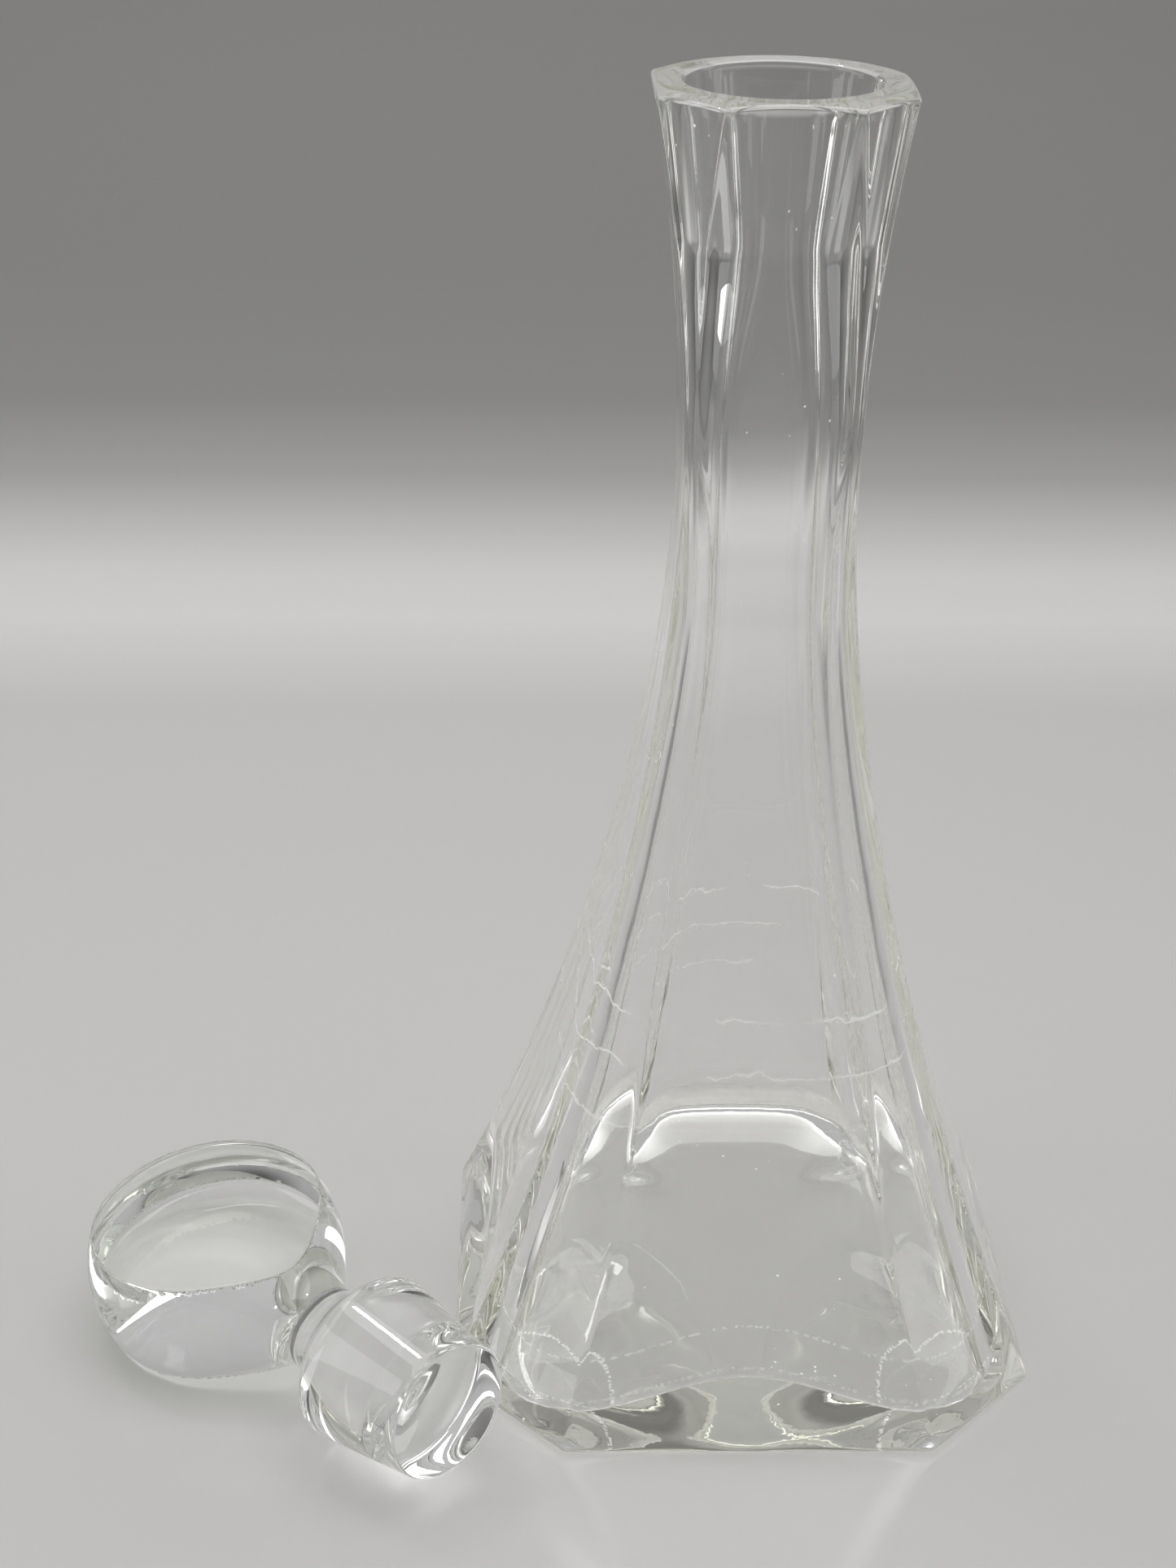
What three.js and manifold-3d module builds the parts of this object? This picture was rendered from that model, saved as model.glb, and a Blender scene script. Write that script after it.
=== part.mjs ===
import * as THREE from 'three';
import { mergeVertices } from 'three/addons/utils/BufferGeometryUtils.js';
import Module from 'manifold-3d';

// Square glass decanter with cut-off corners and a flat-sided ball stopper laid beside it.
// Millimetres, +Z up, origin on the table under the middle of the bottle, -Y face to the front.

// Bottle, outside
const BOTTLE_HEIGHT = 206;
const BASE_HALF_WIDTH = 47.5;
const HEEL_LAND = 1.5;
const HEEL_ROUNDING = 1;
const WAIST_HALF_WIDTH = 13;
const WAIST_HEIGHT = 150;
const MOUTH_HALF_WIDTH = 18.5;
const FLANK_POWER = 1.78;
const MOUTH_POWER = 2.05;

// Ground lip: a level ring round the mouth that slopes down towards the corners
const LIP_LEVEL_RADIUS = 17.9;
const LIP_FALL_SHARE = 0.27;
const LIP_ROUNDING = 0.6;
const MOUTH_ROUNDING = 0.8;

// How much of each side's half width the flat front panel takes, up the bottle
const PANEL_SHARES = [
  [0, 0.62],
  [0.12, 0.622],
  [0.27, 0.647],
  [0.37, 0.683],
  [0.46, 0.676],
  [0.57, 0.648],
  [0.63, 0.657],
  [0.69, 0.7],
  [0.777, 0.828],
  [0.89, 0.716],
  [1, 0.53],
];

// Bottle, inside
const HEEL_WALL = 4.2;
const NECK_BORE_RADIUS = 10.8;
const NECK_BORE_HEIGHT = 128;
const CAVITY_POWER = 1.42;
const NECK_SWELL_POWER = 1.5;
const ROUND_EXPONENT = 2;
const SQUARENESS = 2;
const SQUARE_BORE_HEIGHT = 150;

// Pushed-up floor with a pocket in each corner, wide ones in front and narrow ones at the back
const FLOOR_CENTRE_HEIGHT = 12;
const FLOOR_SIDE_HEIGHT = 9.3;
const FLOOR_SIDE_RADIUS = 40;
const POCKET_DEPTH = 6;
const POCKET_START_RADIUS = 12;
const POCKET_FULL_RADIUS = 44;
const FRONT_POCKET_POWER = 2;
const BACK_POCKET_POWER = 10;
const FRONT_FLOOR_FILLET = 1.2;
const BACK_FLOOR_FILLET = 9;
const BACK_BLEND = 0.5;

// Stopper, lengths along its own axis from the middle of the knob
const KNOB_RADIUS = 21.6;
const KNOB_HALF_THICKNESS = 9.5;
const KNOB_TAIL_START = 11;
const STOPPER_NECK_RADIUS = 7.2;
const STOPPER_NECK_AT = 28.8;
const SHOULDER_AT = 39.9;
const SHOULDER_ROUNDING = 0.5;
const PLUG_TOP_RADIUS = 14;
const PLUG_END_RADIUS = 11.2;
const PLUG_LENGTH = 19.4;
const PLUG_END_BEVEL = 0.4;
const FLARE_POWER = 2;

// Fit of the ground plug in the ground mouth
const SEAT_CLEARANCE = 0.15;
const SEAT_EXTRA_DEPTH = 2.5;

// Where the loose stopper lies: its shoulder's place on the table, its turn from the front
// and its roll about its own axis
const STOPPER_LEFT = 60.5;
const STOPPER_FORWARD = 41;
const STOPPER_TURN_DEGREES = -46.7;
const STOPPER_ROLL_DEGREES = 8;

// Mesh fineness
const PANEL_STEPS = 6;
const CORNER_STEPS = 4;
const SIDES = 4;
const OUTSIDE_RINGS = 30;
const INSIDE_RINGS = 32;
const FLOOR_RINGS = 8;
const FILLET_STEPS = 3;
const STOPPER_SEGMENTS = 44;
const BALL_STEPS = 18;
const CURVE_STEPS = 9;

const HALF = 0.5;
const TURN = Math.PI * 2;
const COLUMNS = SIDES * (PANEL_STEPS + CORNER_STEPS);

// Smooth curve through hand-chosen stations, each a pair of place and value
function throughStations(stations, place) {
  const last = stations.length - 1;
  let i = 0;
  while (i < last - 1 && place > stations[i + 1][0]) i += 1;
  const slope = (a, b) => (stations[b][1] - stations[a][1]) / (stations[b][0] - stations[a][0]);
  const span = stations[i + 1][0] - stations[i][0];
  const t = THREE.MathUtils.clamp((place - stations[i][0]) / span, 0, 1);
  const startSlope = slope(Math.max(i - 1, 0), i + 1) * span;
  const endSlope = slope(i, Math.min(i + 2, last)) * span;
  const rise = stations[i + 1][1] - stations[i][1];
  const cubic = startSlope + endSlope - rise - rise;
  const square = rise - startSlope - cubic;
  return stations[i][1] + t * (startSlope + t * (square + t * cubic));
}

// Distance of each flat panel from the bottle's axis
function outsideHalfWidth(z) {
  if (z <= HEEL_LAND) return BASE_HALF_WIDTH;
  if (z < WAIST_HEIGHT) {
    const left = (WAIST_HEIGHT - z) / (WAIST_HEIGHT - HEEL_LAND);
    return WAIST_HALF_WIDTH + (BASE_HALF_WIDTH - WAIST_HALF_WIDTH) * left ** FLANK_POWER;
  }
  const up = (z - WAIST_HEIGHT) / (BOTTLE_HEIGHT - WAIST_HEIGHT);
  return WAIST_HALF_WIDTH + (MOUTH_HALF_WIDTH - WAIST_HALF_WIDTH) * up ** MOUTH_POWER;
}

// Point of the eight-sided outline at height z, drawn in by inset
function outsidePoint(column, z, inset) {
  const perSide = PANEL_STEPS + CORNER_STEPS;
  const shifted = column + PANEL_STEPS * HALF;
  const side = Math.floor(shifted / perSide);
  const step = shifted - side * perSide;
  const half = outsideHalfWidth(z);
  const panel = half * throughStations(PANEL_SHARES, z / BOTTLE_HEIGHT);
  let x = half;
  let y = -panel + (panel + panel) * (step / PANEL_STEPS);
  if (step > PANEL_STEPS) {
    const along = (step - PANEL_STEPS) / CORNER_STEPS;
    x = half + (panel - half) * along;
    y = panel + (half - panel) * along;
  }
  const radius = Math.hypot(x, y);
  const shrink = (radius - inset) / radius;
  const turned = new THREE.Vector2(x * shrink, y * shrink);
  turned.rotateAround(new THREE.Vector2(0, 0), (side * TURN) / SIDES);
  return new THREE.Vector3(turned.x, turned.y, z);
}

// Height of the ground lip at a distance from the axis
function lipHeight(radius) {
  return BOTTLE_HEIGHT - LIP_FALL_SHARE * Math.max(radius - LIP_LEVEL_RADIUS, 0);
}

const PLUG_TAPER = (PLUG_TOP_RADIUS - PLUG_END_RADIUS) / PLUG_LENGTH;
const SEAT_DEPTH = PLUG_LENGTH + SEAT_EXTRA_DEPTH;
const SEAT_TOP_RADIUS = PLUG_TOP_RADIUS + SEAT_CLEARANCE;
const SEAT_END_HEIGHT = BOTTLE_HEIGHT - SEAT_DEPTH;
const SEAT_END_RADIUS = SEAT_TOP_RADIUS - PLUG_TAPER * SEAT_DEPTH;

// Half width of the hollow across the flats
function insideHalfWidth(z) {
  if (z < NECK_BORE_HEIGHT) {
    const wide = BASE_HALF_WIDTH - HEEL_WALL - NECK_BORE_RADIUS;
    return NECK_BORE_RADIUS + wide * (1 - z / NECK_BORE_HEIGHT) ** CAVITY_POWER;
  }
  if (z < SEAT_END_HEIGHT) {
    const up = (z - NECK_BORE_HEIGHT) / (SEAT_END_HEIGHT - NECK_BORE_HEIGHT);
    return NECK_BORE_RADIUS + (SEAT_END_RADIUS - NECK_BORE_RADIUS) * up ** NECK_SWELL_POWER;
  }
  return SEAT_TOP_RADIUS - PLUG_TAPER * (BOTTLE_HEIGHT - z);
}

// Radius of the hollow in one direction: round at the seat of the plug, a rounded square below
function insideRadius(angle, z) {
  const below = SEAT_END_HEIGHT - z;
  const square = THREE.MathUtils.smoothstep(below, 0, SEAT_END_HEIGHT - SQUARE_BORE_HEIGHT);
  const exponent = ROUND_EXPONENT + SQUARENESS * square;
  const sum = Math.abs(Math.cos(angle)) ** exponent + Math.abs(Math.sin(angle)) ** exponent;
  return insideHalfWidth(z) / sum ** (1 / exponent);
}

// How far a direction looks to the back of the bottle, 0 in front and 1 behind
function backShare(angle) {
  return THREE.MathUtils.smoothstep(Math.sin(angle), -BACK_BLEND, BACK_BLEND);
}

// Rounding where the hollow's wall runs into the floor
function floorFillet(angle) {
  return FRONT_FLOOR_FILLET + (BACK_FLOOR_FILLET - FRONT_FLOOR_FILLET) * backShare(angle);
}

// Height of the pushed-up floor at a place: a low dome that sinks to a pocket in each corner
function floorHeight(radius, angle) {
  const dome = (FLOOR_CENTRE_HEIGHT - FLOOR_SIDE_HEIGHT) * (radius / FLOOR_SIDE_RADIUS) ** 2;
  const well = THREE.MathUtils.smoothstep(radius, POCKET_START_RADIUS, POCKET_FULL_RADIUS);
  const power = FRONT_POCKET_POWER + (BACK_POCKET_POWER - FRONT_POCKET_POWER) * backShare(angle);
  const corner = Math.abs(Math.sin(angle + angle)) ** power;
  return FLOOR_CENTRE_HEIGHT - dome - POCKET_DEPTH * well * corner;
}

// Radius where the hollow's wall meets the floor in one direction
function creaseRadius(angle) {
  let low = 0;
  let high = BASE_HALF_WIDTH + BASE_HALF_WIDTH;
  for (let i = 0; i < BALL_STEPS + BALL_STEPS; i += 1) {
    const middle = (low + high) * HALF;
    if (middle < insideRadius(angle, floorHeight(middle, angle))) low = middle;
    else high = middle;
  }
  return low;
}

function polar(angle, radius, z) {
  return new THREE.Vector3(Math.cos(angle) * radius, Math.sin(angle) * radius, z);
}

// Rings of the bottle from the middle of the underside, up the outside, over the lip,
// down the inside and in to the middle of the floor
function bottleRings() {
  const rings = [];
  const ring = (place) => rings.push(Array.from({ length: COLUMNS }, (unused, k) => place(k)));
  const angleOf = (k) => (k / COLUMNS) * TURN;
  const arcSteps = Array.from({ length: FILLET_STEPS + 1 }, (unused, i) => i / FILLET_STEPS);

  arcSteps.forEach((share) => {
    const turn = share * TURN / SIDES;
    const inset = HEEL_ROUNDING * (1 - Math.sin(turn));
    const height = HEEL_ROUNDING * (1 - Math.cos(turn));
    ring((k) => outsidePoint(k, 0, inset).setZ(height));
  });

  const topOf = (k) => {
    let z = BOTTLE_HEIGHT;
    for (let i = 0; i < FILLET_STEPS + FILLET_STEPS; i += 1) {
      const at = outsidePoint(k, z, 0);
      z = lipHeight(Math.hypot(at.x, at.y));
    }
    return z;
  };
  const tops = Array.from({ length: COLUMNS }, (unused, k) => topOf(k));
  for (let i = 0; i <= OUTSIDE_RINGS; i += 1) {
    const up = i / OUTSIDE_RINGS;
    ring((k) => outsidePoint(k, HEEL_LAND + (tops[k] - LIP_ROUNDING - HEEL_LAND) * up, 0));
  }

  arcSteps.slice(1).forEach((share) => {
    const turn = share * TURN / SIDES;
    ring((k) => {
      const at = outsidePoint(k, tops[k], LIP_ROUNDING * (1 - Math.cos(turn)));
      const lip = lipHeight(Math.hypot(at.x, at.y));
      return at.setZ(lip - LIP_ROUNDING * (1 - Math.sin(turn)));
    });
  });
  ring((k) => polar(angleOf(k), LIP_LEVEL_RADIUS - LIP_ROUNDING, BOTTLE_HEIGHT));

  arcSteps.forEach((share) => {
    const turn = share * TURN / SIDES;
    const z = BOTTLE_HEIGHT - MOUTH_ROUNDING * (1 - Math.cos(turn));
    const out = MOUTH_ROUNDING * (1 - Math.sin(turn));
    ring((k) => polar(angleOf(k), insideRadius(angleOf(k), BOTTLE_HEIGHT - MOUTH_ROUNDING) + out, z));
  });

  const creases = Array.from({ length: COLUMNS }, (unused, k) => creaseRadius(angleOf(k)));
  const wallFoot = (k) => floorHeight(creases[k], angleOf(k)) + floorFillet(angleOf(k));
  for (let i = 1; i <= INSIDE_RINGS; i += 1) {
    const down = i / INSIDE_RINGS;
    const top = BOTTLE_HEIGHT - MOUTH_ROUNDING;
    ring((k) => {
      const z = top + (wallFoot(k) - top) * down;
      return polar(angleOf(k), insideRadius(angleOf(k), z), z);
    });
  }

  arcSteps.slice(1).forEach((share) => {
    ring((k) => {
      const angle = angleOf(k);
      const foot = new THREE.Vector3(insideRadius(angle, wallFoot(k)), 0, wallFoot(k));
      const corner = new THREE.Vector3(creases[k], 0, floorHeight(creases[k], angle));
      const inner = creases[k] - floorFillet(angle);
      const floor = new THREE.Vector3(inner, 0, floorHeight(inner, angle));
      const at = new THREE.QuadraticBezierCurve3(foot, corner, floor).getPoint(share);
      return polar(angle, at.x, at.z);
    });
  });
  for (let i = 1; i < FLOOR_RINGS; i += 1) {
    const left = 1 - i / FLOOR_RINGS;
    ring((k) => {
      const radius = (creases[k] - floorFillet(angleOf(k))) * left;
      return polar(angleOf(k), radius, floorHeight(radius, angleOf(k)));
    });
  }
  return rings;
}

// Closed skin through rings of equal length, shut by a point at each end
function skin(rings, firstPoint, lastPoint) {
  const count = rings[0].length;
  const positions = [];
  const index = [];
  rings.flat().forEach((at) => positions.push(at.x, at.y, at.z));
  const first = rings.length * count;
  const last = first + 1;
  positions.push(...firstPoint.toArray(), ...lastPoint.toArray());
  for (let k = 0; k < count; k += 1) {
    const next = (k + 1) % count;
    index.push(first, next, k);
    for (let i = 0; i + 1 < rings.length; i += 1) {
      const here = i * count;
      const above = here + count;
      index.push(here + k, here + next, above + next);
      index.push(here + k, above + next, above + k);
    }
    const end = (rings.length - 1) * count;
    index.push(end + k, end + next, last);
  }
  const geometry = new THREE.BufferGeometry();
  geometry.setAttribute('position', new THREE.Float32BufferAttribute(positions, 3));
  geometry.setIndex(index);
  return geometry;
}

const wasm = await Module();
wasm.setup();

function toSolid(geometry) {
  const bare = geometry.clone();
  bare.deleteAttribute('normal');
  bare.deleteAttribute('uv');
  const merged = mergeVertices(bare);
  const mesh = new wasm.Mesh({
    numProp: 3,
    vertProperties: new Float32Array(merged.attributes.position.array),
    triVerts: new Uint32Array(merged.index.array),
  });
  return new wasm.Manifold(mesh);
}

function toGeometry(solid) {
  const mesh = solid.getMesh();
  const geometry = new THREE.BufferGeometry();
  geometry.setAttribute('position', new THREE.Float32BufferAttribute(mesh.vertProperties, 3));
  geometry.setIndex(Array.from(mesh.triVerts));
  return geometry;
}

// Radius of the stopper along its axis, before the knob's two flats are cut
function stopperProfile() {
  const points = [];
  const joinTurn = Math.acos(-KNOB_TAIL_START / KNOB_RADIUS);
  for (let i = 0; i <= BALL_STEPS; i += 1) {
    const turn = (joinTurn * i) / BALL_STEPS;
    points.push(new THREE.Vector2(KNOB_RADIUS * Math.sin(turn), -KNOB_RADIUS * Math.cos(turn)));
  }
  points[0].x = 0;
  const join = points[BALL_STEPS];
  const tailSlope = -KNOB_TAIL_START / join.x;
  const length = STOPPER_NECK_AT - KNOB_TAIL_START;
  for (let i = 1; i <= CURVE_STEPS; i += 1) {
    const t = i / CURVE_STEPS;
    const ease = THREE.MathUtils.smoothstep(t, 0, 1);
    const lean = tailSlope * length * t * (1 - t) * (1 - t);
    const radius = join.x + (STOPPER_NECK_RADIUS - join.x) * ease + lean;
    points.push(new THREE.Vector2(radius, KNOB_TAIL_START + length * t));
  }
  const flare = SHOULDER_AT - SHOULDER_ROUNDING - STOPPER_NECK_AT;
  const rise = PLUG_TOP_RADIUS - SHOULDER_ROUNDING - STOPPER_NECK_RADIUS;
  for (let i = 1; i <= CURVE_STEPS; i += 1) {
    const t = i / CURVE_STEPS;
    points.push(new THREE.Vector2(
      STOPPER_NECK_RADIUS + rise * t ** FLARE_POWER,
      STOPPER_NECK_AT + flare * t,
    ));
  }
  points.push(new THREE.Vector2(PLUG_TOP_RADIUS, SHOULDER_AT));
  const end = SHOULDER_AT + PLUG_LENGTH;
  points.push(new THREE.Vector2(PLUG_END_RADIUS + PLUG_TAPER * PLUG_END_BEVEL, end - PLUG_END_BEVEL));
  points.push(new THREE.Vector2(PLUG_END_RADIUS - PLUG_END_BEVEL, end));
  points.push(new THREE.Vector2(0, end));
  return points;
}

// Stopper with its axis along +X and its two flats facing up and down
function stopperGeometry() {
  const round = new THREE.LatheGeometry(stopperProfile(), STOPPER_SEGMENTS);
  round.rotateZ(-TURN / SIDES);
  const across = KNOB_RADIUS + KNOB_RADIUS + KNOB_RADIUS;
  const reach = STOPPER_NECK_AT + KNOB_RADIUS + KNOB_RADIUS;
  let solid = toSolid(round);
  [1, -1].forEach((way) => {
    const cutter = new THREE.BoxGeometry(reach, across, KNOB_RADIUS);
    const lift = KNOB_HALF_THICKNESS + KNOB_RADIUS * HALF;
    cutter.translate(STOPPER_NECK_AT - reach * HALF, 0, way * lift);
    solid = solid.subtract(toSolid(cutter));
  });
  return toGeometry(solid);
}

function glass(name) {
  return new THREE.MeshStandardMaterial({
    name,
    color: 0xe6ebe4,
    roughness: 0.03,
    metalness: 0,
    transparent: true,
    opacity: 0.35,
  });
}

const part = new THREE.Group();
part.name = 'glass_decanter';

const underside = new THREE.Vector3(0, 0, 0);
const floorMiddle = new THREE.Vector3(0, 0, FLOOR_CENTRE_HEIGHT);
const bottle = new THREE.Mesh(skin(bottleRings(), underside, floorMiddle), glass('bottle_glass'));
bottle.name = 'decanter_bottle';
part.add(bottle);

// The loose stopper, rolled a little, rests on its shoulder's edge and on the lower flat's edge
const flatRadius = Math.sqrt(KNOB_RADIUS ** 2 - KNOB_HALF_THICKNESS ** 2);
const roll = THREE.MathUtils.degToRad(STOPPER_ROLL_DEGREES);
const rimDrop = KNOB_HALF_THICKNESS * Math.cos(roll) + flatRadius * Math.sin(roll);
const restTilt = Math.atan((PLUG_TOP_RADIUS - rimDrop) / SHOULDER_AT);
const laid = stopperGeometry();
laid.translate(-SHOULDER_AT, 0, 0);
laid.rotateX(roll);
laid.rotateY(-restTilt);
laid.rotateZ(THREE.MathUtils.degToRad(STOPPER_TURN_DEGREES));
laid.translate(-STOPPER_LEFT, -STOPPER_FORWARD, 0);
laid.computeBoundingBox();
laid.translate(0, 0, -laid.boundingBox.min.z);
const stopper = new THREE.Mesh(laid, glass('stopper_glass'));
stopper.name = 'stopper';
part.add(stopper);

export default part;
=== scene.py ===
import math

import bmesh
import bpy
from mathutils import Matrix, Vector


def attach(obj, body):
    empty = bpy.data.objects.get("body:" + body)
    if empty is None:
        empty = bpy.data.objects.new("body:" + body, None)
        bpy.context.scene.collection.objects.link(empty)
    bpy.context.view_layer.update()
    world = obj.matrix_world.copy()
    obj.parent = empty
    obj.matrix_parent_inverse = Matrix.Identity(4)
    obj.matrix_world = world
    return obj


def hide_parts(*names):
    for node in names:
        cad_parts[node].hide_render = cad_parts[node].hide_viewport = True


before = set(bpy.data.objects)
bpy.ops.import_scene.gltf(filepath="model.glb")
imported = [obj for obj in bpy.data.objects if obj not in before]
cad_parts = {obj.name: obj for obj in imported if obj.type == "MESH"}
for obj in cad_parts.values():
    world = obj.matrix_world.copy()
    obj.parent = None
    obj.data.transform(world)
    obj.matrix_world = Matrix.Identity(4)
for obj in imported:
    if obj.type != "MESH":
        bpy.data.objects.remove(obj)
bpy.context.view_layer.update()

MM = 0.001
TURN = 2 * math.pi

# Bottle sizes, mm
BOTTLE_HEIGHT = 206.0
BASE_HALF_WIDTH = 47.5
HEEL_LAND = 1.5
HEEL_ROUNDING = 1.0
WAIST_HALF_WIDTH = 13.0
WAIST_HEIGHT = 150.0
MOUTH_HALF_WIDTH = 18.5
FLANK_POWER = 1.78
MOUTH_POWER = 2.05
LIP_LEVEL_RADIUS = 17.9
LIP_FALL = 0.27
LIP_ROUNDING = 0.6
LIP_LEVEL_INSET = 0.8
MOUTH_ROUNDING = 0.8
EDGE_ROUNDING = 0.7
EDGE_ROUNDING_SHARE = 0.4
EDGE_SUPPORT = 0.35
EDGE_SUPPORT_SHARE = 0.15
PANEL_SHARES = [(0, 0.62), (0.12, 0.622), (0.27, 0.647), (0.37, 0.683), (0.46, 0.676),
                (0.57, 0.648), (0.63, 0.657), (0.69, 0.7), (0.777, 0.828), (0.89, 0.716),
                (1, 0.53)]
HEEL_WALL = 4.2
NECK_BORE_RADIUS = 10.8
NECK_BORE_HEIGHT = 128.0
CAVITY_POWER = 1.42
NECK_SWELL_POWER = 1.5
SQUARENESS = 2.0
SQUARE_BORE_HEIGHT = 150.0
FLOOR_CENTRE_HEIGHT = 12.0
FLOOR_SIDE_HEIGHT = 9.3
FLOOR_SIDE_RADIUS = 40.0
POCKET_DEPTH = 6.0
POCKET_START_RADIUS = 12.0
POCKET_FULL_RADIUS = 44.0
FRONT_POCKET_POWER = 2.0
BACK_POCKET_POWER = 10.0
FRONT_FLOOR_FILLET = 1.2
BACK_FLOOR_FILLET = 9.0
BACK_BLEND = 0.5

# Stopper sizes, mm
KNOB_RADIUS = 21.6
KNOB_HALF_THICKNESS = 9.5
KNOB_TAIL_START = 11.0
KNOB_EDGE_BEVEL = 0.25
STOPPER_NECK_RADIUS = 7.2
STOPPER_NECK_AT = 28.8
SHOULDER_AT = 39.9
SHOULDER_ROUNDING = 0.5
SHOULDER_RUN = 0.6
PLUG_TOP_RADIUS = 14.0
PLUG_END_RADIUS = 11.2
PLUG_LENGTH = 19.4
PLUG_END_BEVEL = 0.4
FLARE_POWER = 2.0
SEAT_CLEARANCE = 0.15
SEAT_EXTRA_DEPTH = 2.5
STOPPER_LEFT = 60.5
STOPPER_FORWARD = 41.0
STOPPER_TURN = math.radians(-46.7)
STOPPER_ROLL = math.radians(8.0)

PLUG_TAPER = (PLUG_TOP_RADIUS - PLUG_END_RADIUS) / PLUG_LENGTH
STOPPER_END_AT = SHOULDER_AT + PLUG_LENGTH
SEAT_TOP_RADIUS = PLUG_TOP_RADIUS + SEAT_CLEARANCE
SEAT_DEPTH = PLUG_LENGTH + SEAT_EXTRA_DEPTH
SEAT_END_HEIGHT = BOTTLE_HEIGHT - SEAT_DEPTH
SEAT_END_RADIUS = SEAT_TOP_RADIUS - PLUG_TAPER * SEAT_DEPTH

# Fineness of the meshes
PANEL_STEPS = 14
CORNER_STEPS = 7
ROUND_STEPS = 5
OUTSIDE_RINGS = 150
INSIDE_RINGS = 190
FLOOR_RINGS = 60
FILLET_STEPS = 8
UNDERSIDE_SHARES = (0.05, 0.3, 0.6, 0.8, 0.9, 0.97)
LIP_SHARES = (0.33, 0.66, 1.0)
CREASE_HALVINGS = 40
KNOB_STEPS = 70
TAIL_STEPS = 40
FLARE_STEPS = 30
SHOULDER_STEPS = 6
PLUG_STEPS = 11
PLUG_BEVEL_STEPS = 5
PLUG_END_SHARES = (0.9, 0.6, 0.3)
STOPPER_AROUND = 160
KNOB_BEVEL_STEPS = 3
CUT_TOLERANCE = 1e-7

# Value of "rise" where a point is not on the hollow's wall, metres
OFF_WALL = 1.0


def smoothstep(x, low, high):
    t = min(max((x - low) / (high - low), 0.0), 1.0)
    return t * t * (3 - 2 * t)


def through_stations(stations, place):
    """Value at a place on the smooth curve through (place, value) stations."""
    last = len(stations) - 1
    i = 0
    while i < last - 1 and place > stations[i + 1][0]:
        i += 1

    def slope(a, b):
        return (stations[b][1] - stations[a][1]) / (stations[b][0] - stations[a][0])

    span = stations[i + 1][0] - stations[i][0]
    t = min(max((place - stations[i][0]) / span, 0.0), 1.0)
    start = slope(max(i - 1, 0), i + 1) * span
    end = slope(i, min(i + 2, last)) * span
    rise = stations[i + 1][1] - stations[i][1]
    cubic = start + end - 2 * rise
    square = rise - start - cubic
    return stations[i][1] + t * (start + t * (square + t * cubic))


def outside_half_width(z):
    """Half the bottle's width across two opposite panels."""
    if z <= HEEL_LAND:
        return BASE_HALF_WIDTH
    if z < WAIST_HEIGHT:
        left = (WAIST_HEIGHT - z) / (WAIST_HEIGHT - HEEL_LAND)
        return WAIST_HALF_WIDTH + (BASE_HALF_WIDTH - WAIST_HALF_WIDTH) * left ** FLANK_POWER
    up = (z - WAIST_HEIGHT) / (BOTTLE_HEIGHT - WAIST_HEIGHT)
    return WAIST_HALF_WIDTH + (MOUTH_HALF_WIDTH - WAIST_HALF_WIDTH) * up ** MOUTH_POWER


def bezier(start, pull, end, t):
    """The point at t on the curve from start to end that is drawn toward pull."""
    return start * (1 - t) ** 2 + pull * (2 * t * (1 - t)) + end * t * t


def eighth_outline(z):
    """Plan points of one panel and the cut corner after it, counter-clockwise."""
    half = outside_half_width(z)
    panel = half * through_stations(PANEL_SHARES, z / BOTTLE_HEIGHT)
    leg = (half - panel) * math.sqrt(2)
    reach = min(EDGE_ROUNDING, EDGE_ROUNDING_SHARE * leg, EDGE_ROUNDING_SHARE * panel)
    support = min(EDGE_SUPPORT, EDGE_SUPPORT_SHARE * leg)
    edge_low = Vector((half, panel))
    edge_high = Vector((panel, half))
    up = Vector((0, 1))
    slant = (edge_high - edge_low).normalized()
    over = Vector((-1, 0))
    low = -panel + reach + support
    high = panel - reach - support
    start = edge_low + slant * (reach + support)
    end = edge_high - slant * (reach + support)
    round_shares = [i / ROUND_STEPS for i in range(1, ROUND_STEPS)]

    points = [Vector((half, -panel + reach))]
    points += [Vector((half, low + (high - low) * i / PANEL_STEPS))
               for i in range(PANEL_STEPS + 1)]
    points.append(Vector((half, panel - reach)))
    points += [bezier(edge_low - up * reach, edge_low, edge_low + slant * reach, t)
               for t in round_shares]
    points.append(edge_low + slant * reach)
    points += [start.lerp(end, i / CORNER_STEPS) for i in range(CORNER_STEPS + 1)]
    points.append(edge_high - slant * reach)
    points += [bezier(edge_high - slant * reach, edge_high, edge_high + over * reach, t)
               for t in round_shares]
    return points


def outside_outline(z):
    side = eighth_outline(z)
    ring = []
    for quarter in range(4):
        turn = Matrix.Rotation(quarter * TURN / 4, 2)
        ring.extend(turn @ p for p in side)
    return ring


COLUMNS = len(outside_outline(0.0))


def lip_height(radius):
    return BOTTLE_HEIGHT - LIP_FALL * max(radius - LIP_LEVEL_RADIUS, 0)


def inside_half_width(z):
    """Half the hollow's width across two opposite panels."""
    if z < NECK_BORE_HEIGHT:
        wide = BASE_HALF_WIDTH - HEEL_WALL - NECK_BORE_RADIUS
        return NECK_BORE_RADIUS + wide * (1 - z / NECK_BORE_HEIGHT) ** CAVITY_POWER
    if z < SEAT_END_HEIGHT:
        up = (z - NECK_BORE_HEIGHT) / (SEAT_END_HEIGHT - NECK_BORE_HEIGHT)
        return NECK_BORE_RADIUS + (SEAT_END_RADIUS - NECK_BORE_RADIUS) * up ** NECK_SWELL_POWER
    return SEAT_TOP_RADIUS - PLUG_TAPER * (BOTTLE_HEIGHT - z)


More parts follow.
